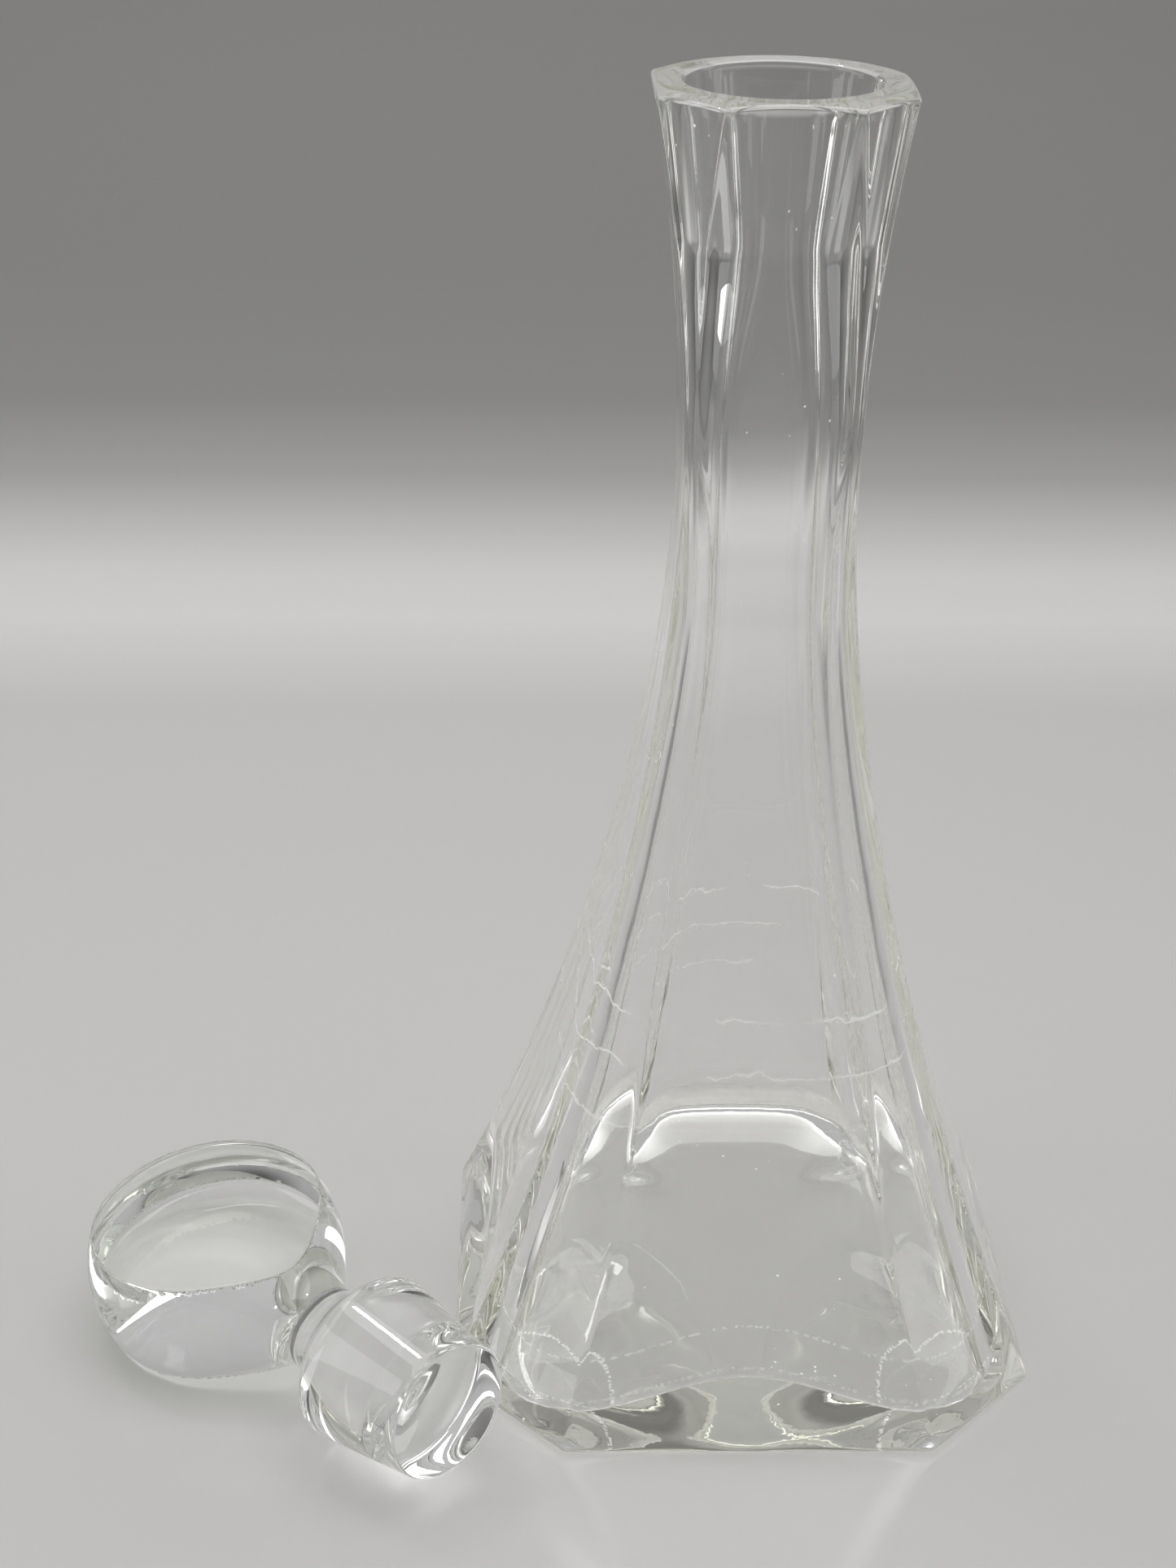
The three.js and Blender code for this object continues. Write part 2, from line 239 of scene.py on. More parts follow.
def inside_radius(angle, z):
    """Radius of the hollow, round at the seat and a rounded square further down."""
    n = 2 + SQUARENESS * smoothstep(SEAT_END_HEIGHT - z, 0, SEAT_END_HEIGHT - SQUARE_BORE_HEIGHT)
    spread = abs(math.cos(angle)) ** n + abs(math.sin(angle)) ** n
    return inside_half_width(z) / spread ** (1 / n)


def back_share(angle):
    return smoothstep(math.sin(angle), -BACK_BLEND, BACK_BLEND)


def floor_fillet(angle):
    return FRONT_FLOOR_FILLET + (BACK_FLOOR_FILLET - FRONT_FLOOR_FILLET) * back_share(angle)


def floor_height(radius, angle):
    """Height of the hollow's pushed-up floor, with a pocket in each corner."""
    fall = (FLOOR_CENTRE_HEIGHT - FLOOR_SIDE_HEIGHT) * (radius / FLOOR_SIDE_RADIUS) ** 2
    well = POCKET_DEPTH * smoothstep(radius, POCKET_START_RADIUS, POCKET_FULL_RADIUS)
    power = FRONT_POCKET_POWER + (BACK_POCKET_POWER - FRONT_POCKET_POWER) * back_share(angle)
    return FLOOR_CENTRE_HEIGHT - fall - well * abs(math.sin(2 * angle)) ** power


def crease_radius(angle):
    """Radius at which the hollow's wall meets its floor."""
    low, high = 0.0, 2 * BASE_HALF_WIDTH
    for _ in range(CREASE_HALVINGS):
        middle = (low + high) / 2
        if middle < inside_radius(angle, floor_height(middle, angle)):
            low = middle
        else:
            high = middle
    return low


def bottle_rings():
    """The bottle's rings, the index of the first inside one, and the crease's heights.

    They run from the underside up the outside, over the lip, down the hollow and across its floor.
    """
    rings = []
    base = outside_outline(0.0)
    tops = [lip_height(p.length) for p in outside_outline(BOTTLE_HEIGHT)]

    for share in UNDERSIDE_SHARES:
        rings.append([(p.x * share, p.y * share, 0.0) for p in base])
    for i in range(FILLET_STEPS + 1):
        turn = i / FILLET_STEPS * TURN / 4
        inset = HEEL_ROUNDING * (1 - math.sin(turn))
        height = HEEL_ROUNDING * (1 - math.cos(turn))
        rings.append([(p.x * (1 - inset / p.length), p.y * (1 - inset / p.length), height)
                      for p in base])
    rings.append([(p.x, p.y, HEEL_LAND) for p in base])
    cache = {}

    def outline_at(z, k):
        key = round(z, 4)
        if key not in cache:
            cache[key] = outside_outline(z)
        return cache[key][k]

    for i in range(1, OUTSIDE_RINGS + 1):
        up = i / OUTSIDE_RINGS
        ring = []
        for k in range(COLUMNS):
            z = HEEL_LAND + (tops[k] - LIP_ROUNDING - HEEL_LAND) * up
            p = outline_at(z, k)
            ring.append((p.x, p.y, z))
        rings.append(ring)
    for i in range(1, FILLET_STEPS + 1):
        turn = i / FILLET_STEPS * TURN / 4
        inset = LIP_ROUNDING * (1 - math.cos(turn))
        ring = []
        for k in range(COLUMNS):
            p = outline_at(tops[k], k)
            r = p.length - inset
            z = lip_height(r) - LIP_ROUNDING * (1 - math.sin(turn))
            ring.append((p.x / p.length * r, p.y / p.length * r, z))
        rings.append(ring)
    angles = [math.atan2(p.y, p.x) for p in outside_outline(BOTTLE_HEIGHT)]
    last = rings[-1]
    for share in LIP_SHARES:
        ring = []
        for k in range(COLUMNS):
            r0 = math.hypot(last[k][0], last[k][1])
            r = r0 + (LIP_LEVEL_RADIUS - LIP_LEVEL_INSET - r0) * share
            ring.append((math.cos(angles[k]) * r, math.sin(angles[k]) * r, lip_height(r)))
        rings.append(ring)
    mouth = inside_half_width(BOTTLE_HEIGHT - MOUTH_ROUNDING)
    for i in range(FILLET_STEPS + 1):
        turn = i / FILLET_STEPS * TURN / 4
        z = BOTTLE_HEIGHT - MOUTH_ROUNDING * (1 - math.cos(turn))
        r = mouth + MOUTH_ROUNDING * (1 - math.sin(turn))
        rings.append([(math.cos(a) * r, math.sin(a) * r, z) for a in angles])
    inside_from = len(rings) - 1
    creases = [crease_radius(a) for a in angles]
    feet = [floor_height(c, a) + floor_fillet(a) for c, a in zip(creases, angles)]
    top = BOTTLE_HEIGHT - MOUTH_ROUNDING
    for i in range(1, INSIDE_RINGS + 1):
        down = i / INSIDE_RINGS
        ring = []
        for a, foot in zip(angles, feet):
            z = top + (foot - top) * down
            r = inside_radius(a, z)
            ring.append((math.cos(a) * r, math.sin(a) * r, z))
        rings.append(ring)
    for i in range(1, FILLET_STEPS + 1):
        t = i / FILLET_STEPS
        ring = []
        for a, crease, foot in zip(angles, creases, feet):
            inner = crease - floor_fillet(a)
            r = bezier(inside_radius(a, foot), crease, inner, t)
            z = bezier(foot, floor_height(crease, a), floor_height(inner, a), t)
            ring.append((math.cos(a) * r, math.sin(a) * r, z))
        rings.append(ring)
    for i in range(1, FLOOR_RINGS):
        left = 1 - i / FLOOR_RINGS
        ring = []
        for a, crease in zip(angles, creases):
            r = (crease - floor_fillet(a)) * left
            ring.append((math.cos(a) * r, math.sin(a) * r, floor_height(r, a)))
        rings.append(ring)
    return rings, inside_from, [foot - floor_fillet(a) for foot, a in zip(feet, angles)]


def skin_mesh(name, rings, first, last, inside_from=None, creases=None):
    """A closed smooth mesh through rings of equal length given in millimetres.

    Its faces from ring inside_from on are marked as inside, and the points of the hollow's wall
    carry their height above the crease. Outside counts as high above it and the floor as below.
    """
    count = len(rings[0])
    verts = [Vector(p) * MM for ring in rings for p in ring]
    verts += [Vector(first) * MM, Vector(last) * MM]
    first_at, last_at = len(verts) - 2, len(verts) - 1
    faces, slots = [], []
    for k in range(count):
        n = (k + 1) % count
        faces.append((first_at, n, k))
        slots.append(0)
        for i in range(len(rings) - 1):
            here, above = i * count, (i + 1) * count
            faces.append((here + k, here + n, above + n, above + k))
            slots.append(1 if inside_from is not None and i >= inside_from else 0)
        end = (len(rings) - 1) * count
        faces.append((end + k, end + n, last_at))
        slots.append(0 if inside_from is None else 1)
    mesh = bpy.data.meshes.new(name)
    mesh.from_pydata([tuple(v) for v in verts], [], faces)
    mark = mesh.attributes.new("inside", "FLOAT", "FACE")
    mark.data.foreach_set("value", [float(v) for v in slots])
    if creases:
        wall_end = inside_from + INSIDE_RINGS
        rises = []
        for i, ring in enumerate(rings):
            if i <= inside_from:
                rises += [OFF_WALL] * count
            elif i <= wall_end:
                rises += [(point[2] - crease) * MM for point, crease in zip(ring, creases)]
            else:
                rises += [-OFF_WALL] * count
        rise = mesh.attributes.new("rise", "FLOAT", "POINT")
        rise.data.foreach_set("value", rises + [OFF_WALL, -OFF_WALL])
    mesh.polygons.foreach_set("use_smooth", [True] * len(faces))
    mesh.update()
    obj = bpy.data.objects.new(name, mesh)
    bpy.context.scene.collection.objects.link(obj)
    return obj


def stopper_radius(x):
    """Radius of the uncut stopper at x mm along its axis from the knob's middle."""
    if x <= KNOB_TAIL_START:
        return math.sqrt(max(KNOB_RADIUS ** 2 - x * x, 0))
    join = math.sqrt(KNOB_RADIUS ** 2 - KNOB_TAIL_START ** 2)
    if x <= STOPPER_NECK_AT:
        length = STOPPER_NECK_AT - KNOB_TAIL_START
        t = (x - KNOB_TAIL_START) / length
        lean = -KNOB_TAIL_START / join * length * t * (1 - t) ** 2
        return join + (STOPPER_NECK_RADIUS - join) * smoothstep(t, 0, 1) + lean
    flare = SHOULDER_AT - SHOULDER_ROUNDING - STOPPER_NECK_AT
    rise = PLUG_TOP_RADIUS - SHOULDER_ROUNDING - STOPPER_NECK_RADIUS
    return STOPPER_NECK_RADIUS + rise * min((x - STOPPER_NECK_AT) / flare, 1) ** FLARE_POWER


def stopper_profile():
    """Places along the stopper's axis and the radius at each, from the knob to the plug's end."""
    sweep_of_knob = math.acos(-KNOB_TAIL_START / KNOB_RADIUS)
    flare_end = SHOULDER_AT - SHOULDER_ROUNDING
    places = [-KNOB_RADIUS * math.cos(sweep_of_knob * i / KNOB_STEPS)
              for i in range(1, KNOB_STEPS)]
    places += [KNOB_TAIL_START + (STOPPER_NECK_AT - KNOB_TAIL_START) * i / TAIL_STEPS
               for i in range(TAIL_STEPS + 1)]
    places += [STOPPER_NECK_AT + (flare_end - STOPPER_NECK_AT) * i / FLARE_STEPS
               for i in range(1, FLARE_STEPS + 1)]
    points = [(x, stopper_radius(x)) for x in places]
    for i in range(1, SHOULDER_STEPS + 1):
        t = i / SHOULDER_STEPS
        x = bezier(flare_end, SHOULDER_AT, SHOULDER_AT + SHOULDER_RUN, t)
        r = bezier(PLUG_TOP_RADIUS - SHOULDER_ROUNDING, PLUG_TOP_RADIUS,
                   PLUG_TOP_RADIUS - PLUG_TAPER * SHOULDER_RUN, t)
        points.append((x, r))
    straight = PLUG_LENGTH - SHOULDER_RUN - PLUG_END_BEVEL
    for i in range(1, PLUG_STEPS + 1):
        x = SHOULDER_AT + SHOULDER_RUN + straight * i / PLUG_STEPS
        points.append((x, PLUG_TOP_RADIUS - PLUG_TAPER * (x - SHOULDER_AT)))
    for i in range(1, PLUG_BEVEL_STEPS + 1):
        turn = i / PLUG_BEVEL_STEPS * TURN / 4
        points.append((STOPPER_END_AT - PLUG_END_BEVEL * (1 - math.sin(turn)),
                       PLUG_END_RADIUS - PLUG_END_BEVEL * (1 - math.cos(turn))))
    for share in PLUG_END_SHARES:
        points.append((STOPPER_END_AT, (PLUG_END_RADIUS - PLUG_END_BEVEL) * share))
    return points


def cut_flat(bm, way):
    """Cut the knob level above the axis, or below it for a way of -1, and bevel the edge."""
    height = way * KNOB_HALF_THICKNESS * MM
    faces = [f for f in bm.faces if f.calc_center_median().x < STOPPER_NECK_AT * MM]
    edges = list(dict.fromkeys(e for f in faces for e in f.edges))
    verts = list(dict.fromkeys(v for f in faces for v in f.verts))
    cut = bmesh.ops.bisect_plane(bm, geom=faces + edges + verts, plane_co=(0, 0, height),
                                 plane_no=(0, 0, way), clear_outer=True, dist=CUT_TOLERANCE)
    rim = [e for e in cut["geom_cut"] if isinstance(e, bmesh.types.BMEdge)]
    rim = [e for e in rim if e.is_valid and e.is_boundary]
    flat = bmesh.ops.contextual_create(bm, geom=rim)
    for f in flat["faces"]:
        f.smooth = False
    bmesh.ops.bevel(bm, geom=[e for e in rim if e.is_valid], offset=KNOB_EDGE_BEVEL * MM,
                    segments=KNOB_BEVEL_STEPS, profile=0.5, affect="EDGES")


def stopper_mesh():
    """The stopper, turned on its axis, cut flat on two sides of the knob and laid on the table."""
    turns = [TURN * k / STOPPER_AROUND for k in range(STOPPER_AROUND)]
    rings = [[(x, math.cos(turn) * r, math.sin(turn) * r) for turn in turns]
             for x, r in stopper_profile()]
    obj = skin_mesh("Stopper", rings, (-KNOB_RADIUS, 0, 0), (STOPPER_END_AT, 0, 0))
    bm = bmesh.new()
    bm.from_mesh(obj.data)
    for way in (1, -1):
        cut_flat(bm, way)
    bmesh.ops.recalc_face_normals(bm, faces=bm.faces)
    bmesh.ops.triangulate(bm, faces=[f for f in bm.faces if len(f.verts) > 4])
    bm.to_mesh(obj.data)
    bm.free()
    flat_radius = math.sqrt(KNOB_RADIUS ** 2 - KNOB_HALF_THICKNESS ** 2)
    rim_drop = KNOB_HALF_THICKNESS * math.cos(STOPPER_ROLL) + flat_radius * math.sin(STOPPER_ROLL)
    tilt = math.atan((PLUG_TOP_RADIUS - rim_drop) / SHOULDER_AT)
    place = (Matrix.Translation((-STOPPER_LEFT * MM, -STOPPER_FORWARD * MM, 0))
             @ Matrix.Rotation(STOPPER_TURN, 4, "Z") @ Matrix.Rotation(-tilt, 4, "Y")
             @ Matrix.Rotation(STOPPER_ROLL, 4, "X")
             @ Matrix.Translation((-SHOULDER_AT * MM, 0, 0)))
    obj.data.transform(place)
    lowest = min(v.co.z for v in obj.data.vertices)
    obj.data.transform(Matrix.Translation((0, 0, -lowest)))
    return obj


# Materials
GLASS_IOR = 1.52
WAVE_DETAIL = 1.0
WAVE_ROUGHNESS = 0.4
CORD_SCALE = 260.0
CORD_SHARE = 0.25
CORD_STRETCH = 0.12
CORNER_WAVE_SHARE = 3.0
CORNER_WAVE_SCALE = 130.0
CORNER_WAVE_STRETCH = 0.45
CORNER_FROM, CORNER_FULL = 0.30, 0.47
CORNER_WAVE_FOOT, CORNER_WAVE_TOP = (0.018, 0.040), (0.10, 0.14)
WEAR_SCALE = 900.0
WEAR_FROM, WEAR_FULL = 0.55, 0.9
WEAR_ROUGHNESS = 0.03

# Dried marks, each a height and half a width in metres, or a height and a strength
FOOT_MARK = (0.0019, 0.00042)
FOOT_MARK_FADE = (-0.025, 0.010)
FOOT_MARK_FRONT_SHARE = 0.25
FAINT_MARK = (0.0085, 0.0004)
FAINT_MARK_STRENGTH = 0.40
TIDE_LINES = ((0.0600, 0.55), (0.0685, 0.65), (0.0510, 0.35))
TIDE_LINE_HALF = 0.00032
TIDE_RIPPLE = 0.006
POCKET_RING = (0.0043, 0.00016)
POCKET_RING_STRENGTH = 0.55
BAND_CORE = 0.35
RIPPLE_SCALE = 110.0
DOT_SCALE, DOT_EDGE = 1400.0, (0.46, 0.54)
PATCH_SCALE, PATCH_EDGE = 60.0, (0.42, 0.56)
SPECK_SCALE, SPECK_REACH = 420.0, (0.07, 0.12)
SPECK_PATCH_SCALE, SPECK_PATCH_EDGE = 75.0, (0.60, 0.68)
CHALK = (0.80, 0.80, 0.79, 1)
CHALK_COVER = 0.90


def node(tree, kind, **values):
    """A new node, with in_Name values set on its input sockets and the others on the node."""
    made = tree.nodes.new(kind)
    for key, value in values.items():
        if key.startswith("in_"):
            made.inputs[key[3:].replace("_", " ")].default_value = value
        else:
            setattr(made, key, value)
    return made


def maths(tree, kind, first, second=None):
    """A math node on one or two sockets or numbers, and its result."""
    made = node(tree, "ShaderNodeMath", operation=kind)
    for socket, value in zip(made.inputs, (first, second)):
        if value is None:
            continue
        if isinstance(value, (int, float)):
            socket.default_value = value
        else:
            tree.links.new(value, socket)
    return made.outputs[0]


def scaled(tree, value, low, high, to_low, to_high, ends="LINEAR"):
    """The value taken from low..high to to_low..to_high, where it stays beyond the ends."""
    made = node(tree, "ShaderNodeMapRange", interpolation_type=ends)
    tree.links.new(value, made.inputs["Value"])
    for name, limit in (("From Min", low), ("From Max", high), ("To Min", to_low),
                        ("To Max", to_high)):
        if isinstance(limit, float):
            made.inputs[name].default_value = limit
        else:
            tree.links.new(limit, made.inputs[name])
    return made.outputs["Result"]


def ranged(tree, value, low, high, to_low=0.0, to_high=1.0):
    """As scaled, with soft ends."""
    return scaled(tree, value, low, high, to_low, to_high, "SMOOTHSTEP")


def band(tree, value, centre, half):
    """1 on a thin line where the value meets the centre, falling to 0 at half its width."""
    away = maths(tree, "ABSOLUTE", maths(tree, "SUBTRACT", value, centre))
    return ranged(tree, away, half * BAND_CORE, half, 1.0, 0.0)


def noise(tree, vector, scale, detail=2.0, roughness=0.5):
    """A noise of about 0 to 1, in which one patch is about 1 / scale metres wide."""
    made = node(tree, "ShaderNodeTexNoise",
                in_Scale=scale, in_Detail=detail, in_Roughness=roughness)
    tree.links.new(vector, made.inputs["Vector"])
    return made.outputs["Fac"]


def dried_marks(tree, vector):
    """Mask of the dried tide lines, drops and specks on the inside of the bottle, 0 to 1."""
    inside = node(tree, "ShaderNodeAttribute", attribute_name="inside").outputs["Fac"]
    rise = node(tree, "ShaderNodeAttribute", attribute_name="rise").outputs["Fac"]
    split = node(tree, "ShaderNodeSeparateXYZ")
    tree.links.new(vector, split.inputs[0])
    z = split.outputs["Z"]
    dots = ranged(tree, noise(tree, vector, DOT_SCALE, 0.0), *DOT_EDGE)
    patches = ranged(tree, noise(tree, vector, PATCH_SCALE, 1.0), *PATCH_EDGE)
    ripple = maths(tree, "MULTIPLY", noise(tree, vector, RIPPLE_SCALE, 3.0, 0.6), TIDE_RIPPLE)
    level = maths(tree, "ADD", z, ripple)
    back = ranged(tree, split.outputs["Y"], *FOOT_MARK_FADE, FOOT_MARK_FRONT_SHARE, 1.0)
    marks = maths(tree, "MULTIPLY", band(tree, rise, *FOOT_MARK), dots)
    marks = maths(tree, "MULTIPLY", marks, back)
    faint = maths(tree, "MULTIPLY", band(tree, rise, *FAINT_MARK), FAINT_MARK_STRENGTH)
    marks = maths(tree, "MAXIMUM", marks, maths(tree, "MULTIPLY", faint, dots))
    for height, strength in TIDE_LINES:
        line = maths(tree, "MULTIPLY", band(tree, level, height, TIDE_LINE_HALF), strength)
        marks = maths(tree, "MAXIMUM", marks, maths(tree, "MULTIPLY", line, patches))
    ring = maths(tree, "MULTIPLY", band(tree, z, *POCKET_RING), POCKET_RING_STRENGTH)
    ring = maths(tree, "MULTIPLY", ring, dots)
    marks = maths(tree, "MAXIMUM", marks, ring)
    cells = node(tree, "ShaderNodeTexVoronoi", in_Scale=SPECK_SCALE)
    tree.links.new(vector, cells.inputs["Vector"])
    speck = ranged(tree, cells.outputs["Distance"], *SPECK_REACH, 1.0, 0.0)
    rare = ranged(tree, noise(tree, vector, SPECK_PATCH_SCALE, 1.0), *SPECK_PATCH_EDGE)
    marks = maths(tree, "MAXIMUM", marks, maths(tree, "MULTIPLY", speck, rare))
    return maths(tree, "MULTIPLY", marks, inside)


def corner_waves(tree, vector):
    """Rolling waves on the inside of the thick corners, where the glass cooled last."""
    split = node(tree, "ShaderNodeSeparateXYZ")
    tree.links.new(vector, split.inputs[0])
    x, y = split.outputs["X"], split.outputs["Y"]
    square = maths(tree, "ADD", maths(tree, "MULTIPLY", x, x), maths(tree, "MULTIPLY", y, y))
    share = maths(tree, "DIVIDE", maths(tree, "ABSOLUTE", maths(tree, "MULTIPLY", x, y)), square)
    inside = node(tree, "ShaderNodeAttribute", attribute_name="inside").outputs["Fac"]
    place = maths(tree, "MULTIPLY", ranged(tree, share, CORNER_FROM, CORNER_FULL), inside)
    foot = ranged(tree, split.outputs["Z"], *CORNER_WAVE_FOOT)
    top = ranged(tree, split.outputs["Z"], *CORNER_WAVE_TOP, 1.0, 0.0)
    place = maths(tree, "MULTIPLY", maths(tree, "MULTIPLY", place, foot), top)
    stretched = node(tree, "ShaderNodeMapping", in_Scale=(1.0, 1.0, CORNER_WAVE_STRETCH))
    tree.links.new(vector, stretched.inputs["Vector"])
    rolls = noise(tree, stretched.outputs["Vector"], CORNER_WAVE_SCALE)
    return maths(tree, "MULTIPLY", maths(tree, "MULTIPLY", rolls, place), CORNER_WAVE_SHARE)


def glass_material(name, tint, density, wave, wave_scale, passing, marked):
    """Clear glass with a tint in its depth, faint waves, fine wear and, if marked, dried marks.

    The waves are so many metres high, and passing is the share of light left in its shadow.
    """
    mat = bpy.data.materials.new(name)
    mat.use_nodes = True
    tree = mat.node_tree
    tree.nodes.clear()
    link = tree.links.new
    out = node(tree, "ShaderNodeOutputMaterial")
    place = node(tree, "ShaderNodeTexCoord").outputs["Object"]
    glass = node(tree, "ShaderNodeBsdfPrincipled")
    glass.inputs["Base Color"].default_value = (1, 1, 1, 1)
    glass.inputs["Transmission Weight"].default_value = 1
    glass.inputs["IOR"].default_value = GLASS_IOR
    glass.inputs["Roughness"].default_value = 0.0

    waves = noise(tree, place, wave_scale, WAVE_DETAIL, WAVE_ROUGHNESS)
    drawn = node(tree, "ShaderNodeMapping", in_Scale=(1.0, 1.0, CORD_STRETCH))
    link(place, drawn.inputs["Vector"])
    cords = noise(tree, drawn.outputs["Vector"], CORD_SCALE)
    bump = node(tree, "ShaderNodeBump", in_Strength=1.0, in_Distance=wave)
    relief = maths(tree, "ADD", waves, maths(tree, "MULTIPLY", cords, CORD_SHARE))
    if marked:
        relief = maths(tree, "ADD", relief, corner_waves(tree, place))
    link(relief, bump.inputs["Height"])
    link(bump.outputs["Normal"], glass.inputs["Normal"])

    wear = scaled(tree, noise(tree, place, WEAR_SCALE, 3.0, 0.7), WEAR_FROM, WEAR_FULL,
                  0.0, WEAR_ROUGHNESS)
    link(wear, glass.inputs["Roughness"])

    surface = glass.outputs["BSDF"]
    if marked:
        near_side = node(tree, "ShaderNodeBsdfDiffuse")
        near_side.inputs["Color"].default_value = CHALK
        far_side = node(tree, "ShaderNodeBsdfTranslucent")
        far_side.inputs["Color"].default_value = CHALK
        chalk = node(tree, "ShaderNodeAddShader")
        link(near_side.outputs["BSDF"], chalk.inputs[0])
        link(far_side.outputs["BSDF"], chalk.inputs[1])
        dried = node(tree, "ShaderNodeMixShader")
        link(maths(tree, "MULTIPLY", dried_marks(tree, place), CHALK_COVER), dried.inputs[0])
        link(surface, dried.inputs[1])
        link(chalk.outputs["Shader"], dried.inputs[2])
        surface = dried.outputs["Shader"]
    clear = node(tree, "ShaderNodeBsdfTransparent")
    clear.inputs["Color"].default_value = (passing, passing, passing, 1)
    path = node(tree, "ShaderNodeLightPath")
    mix = node(tree, "ShaderNodeMixShader")
    link(path.outputs["Is Shadow Ray"], mix.inputs[0])
    link(surface, mix.inputs[1])
    link(clear.outputs["BSDF"], mix.inputs[2])
    link(mix.outputs["Shader"], out.inputs["Surface"])
    depth = node(tree, "ShaderNodeVolumeAbsorption")
    depth.inputs["Color"].default_value = tint
    depth.inputs["Density"].default_value = density
    link(depth.outputs["Volume"], out.inputs["Volume"])
    return mat


BOTTLE_TINT = (0.79, 0.80, 0.62, 1)
STOPPER_TINT = (0.80, 0.82, 0.76, 1)
bottle_glass = glass_material("Bottle glass", BOTTLE_TINT, density=4.2, wave=0.00005,
                              wave_scale=45.0, passing=0.80, marked=True)
stopper_glass = glass_material("Stopper glass", STOPPER_TINT, density=2.0, wave=0.00003,
                               wave_scale=60.0, passing=0.66, marked=False)

rings, inside_from, crease_heights = bottle_rings()
bottle = skin_mesh("Bottle", rings, (0, 0, 0), (0, 0, FLOOR_CENTRE_HEIGHT), inside_from,
                   crease_heights)
bottle.data.materials.append(bottle_glass)
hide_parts("decanter_bottle")
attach(bottle, "bottle")

stopper = stopper_mesh()
stopper.data.materials.append(stopper_glass)
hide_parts("stopper")
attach(stopper, "stopper_body")

# Studio, metres
FLOOR_DROP = 0.0002
FLOOR_HALF_WIDTH = 2.0
FLOOR_FRONT_ENDS = (-2.0, -0.5, 0.0)
SWEEP_START = 0.50
SWEEP_RADIUS = 0.25
SWEEP_STEPS = 24
WALL_TOP = 0.35

# Grey of the sweep by its depth y, which runs from 0 to 1, with painted light in it: painted shade
# that darkens the floor further back, and a painted highlight band at depths 0.30 to 0.335
SWEEP_PAINTED_SHADE_GREYS = ((0.0, (0.62, 0.613, 0.603)), (1.0, (0.285, 0.276, 0.27)))
SWEEP_PAINTED_LIGHT_STOPS = ((0.24, 0.62), (0.30, 0.78), (0.335, 0.75), (0.42, 0.42), (0.50, 0.31),
                (0.60, 0.28))
PAINTED_LIGHT_GREEN, PAINTED_LIGHT_BLUE = 0.987, 0.972
SWEEP_SPECULAR = 0.5
GLOSSY_TO, DULL_FROM = 0.22, 0.45
GLOSSY_ROUGHNESS, DULL_ROUGHNESS = 0.17, 0.6

# The pale middle of the table: half its width, its soft edge, and how it widens with depth;
# outside it painted shade darkens the table's sides
PALE_HALF_WIDTH = 0.25
PALE_EDGE = 0.16
PALE_WIDENING = 0.18
PALE_FRONT = -0.25
# Painted shade on the table's sides: how dark, where it ends at the back, and how much weaker it
# is at the front
SIDE_PAINTED_SHADE = 0.55
SIDE_PAINTED_SHADE_END = (0.40, 0.55)
SIDE_PAINTED_SHADE_FRONT = (-1.2, -0.5)
SIDE_PAINTED_SHADE_FRONT_SHARE = 0.3
# Painted light: the upper wall's grey is made brighter between these heights, by this factor
WALL_PAINTED_LIGHT_HEIGHTS = (0.10, 0.20)
WALL_PAINTED_LIGHT = 2.5


def sweep_mesh():
    """Floor that curves up into a backdrop behind the object."""
    line = [(y, -FLOOR_DROP) for y in FLOOR_FRONT_ENDS]
    for i in range(SWEEP_STEPS + 1):
        turn = i / SWEEP_STEPS * TURN / 4
        line.append((SWEEP_START + SWEEP_RADIUS * math.sin(turn),
                     -FLOOR_DROP + SWEEP_RADIUS * (1 - math.cos(turn))))
    line.append((SWEEP_START + SWEEP_RADIUS, WALL_TOP))
    verts, faces = [], []
    for y, z in line:
        verts.append((-FLOOR_HALF_WIDTH, y, z))
        verts.append((FLOOR_HALF_WIDTH, y, z))
    for i in range(len(line) - 1):
        faces.append((2 * i, 2 * i + 1, 2 * i + 3, 2 * i + 2))
    mesh = bpy.data.meshes.new("Sweep")
    mesh.from_pydata(verts, [], faces)
    mesh.polygons.foreach_set("use_smooth", [True] * len(faces))
    return mesh


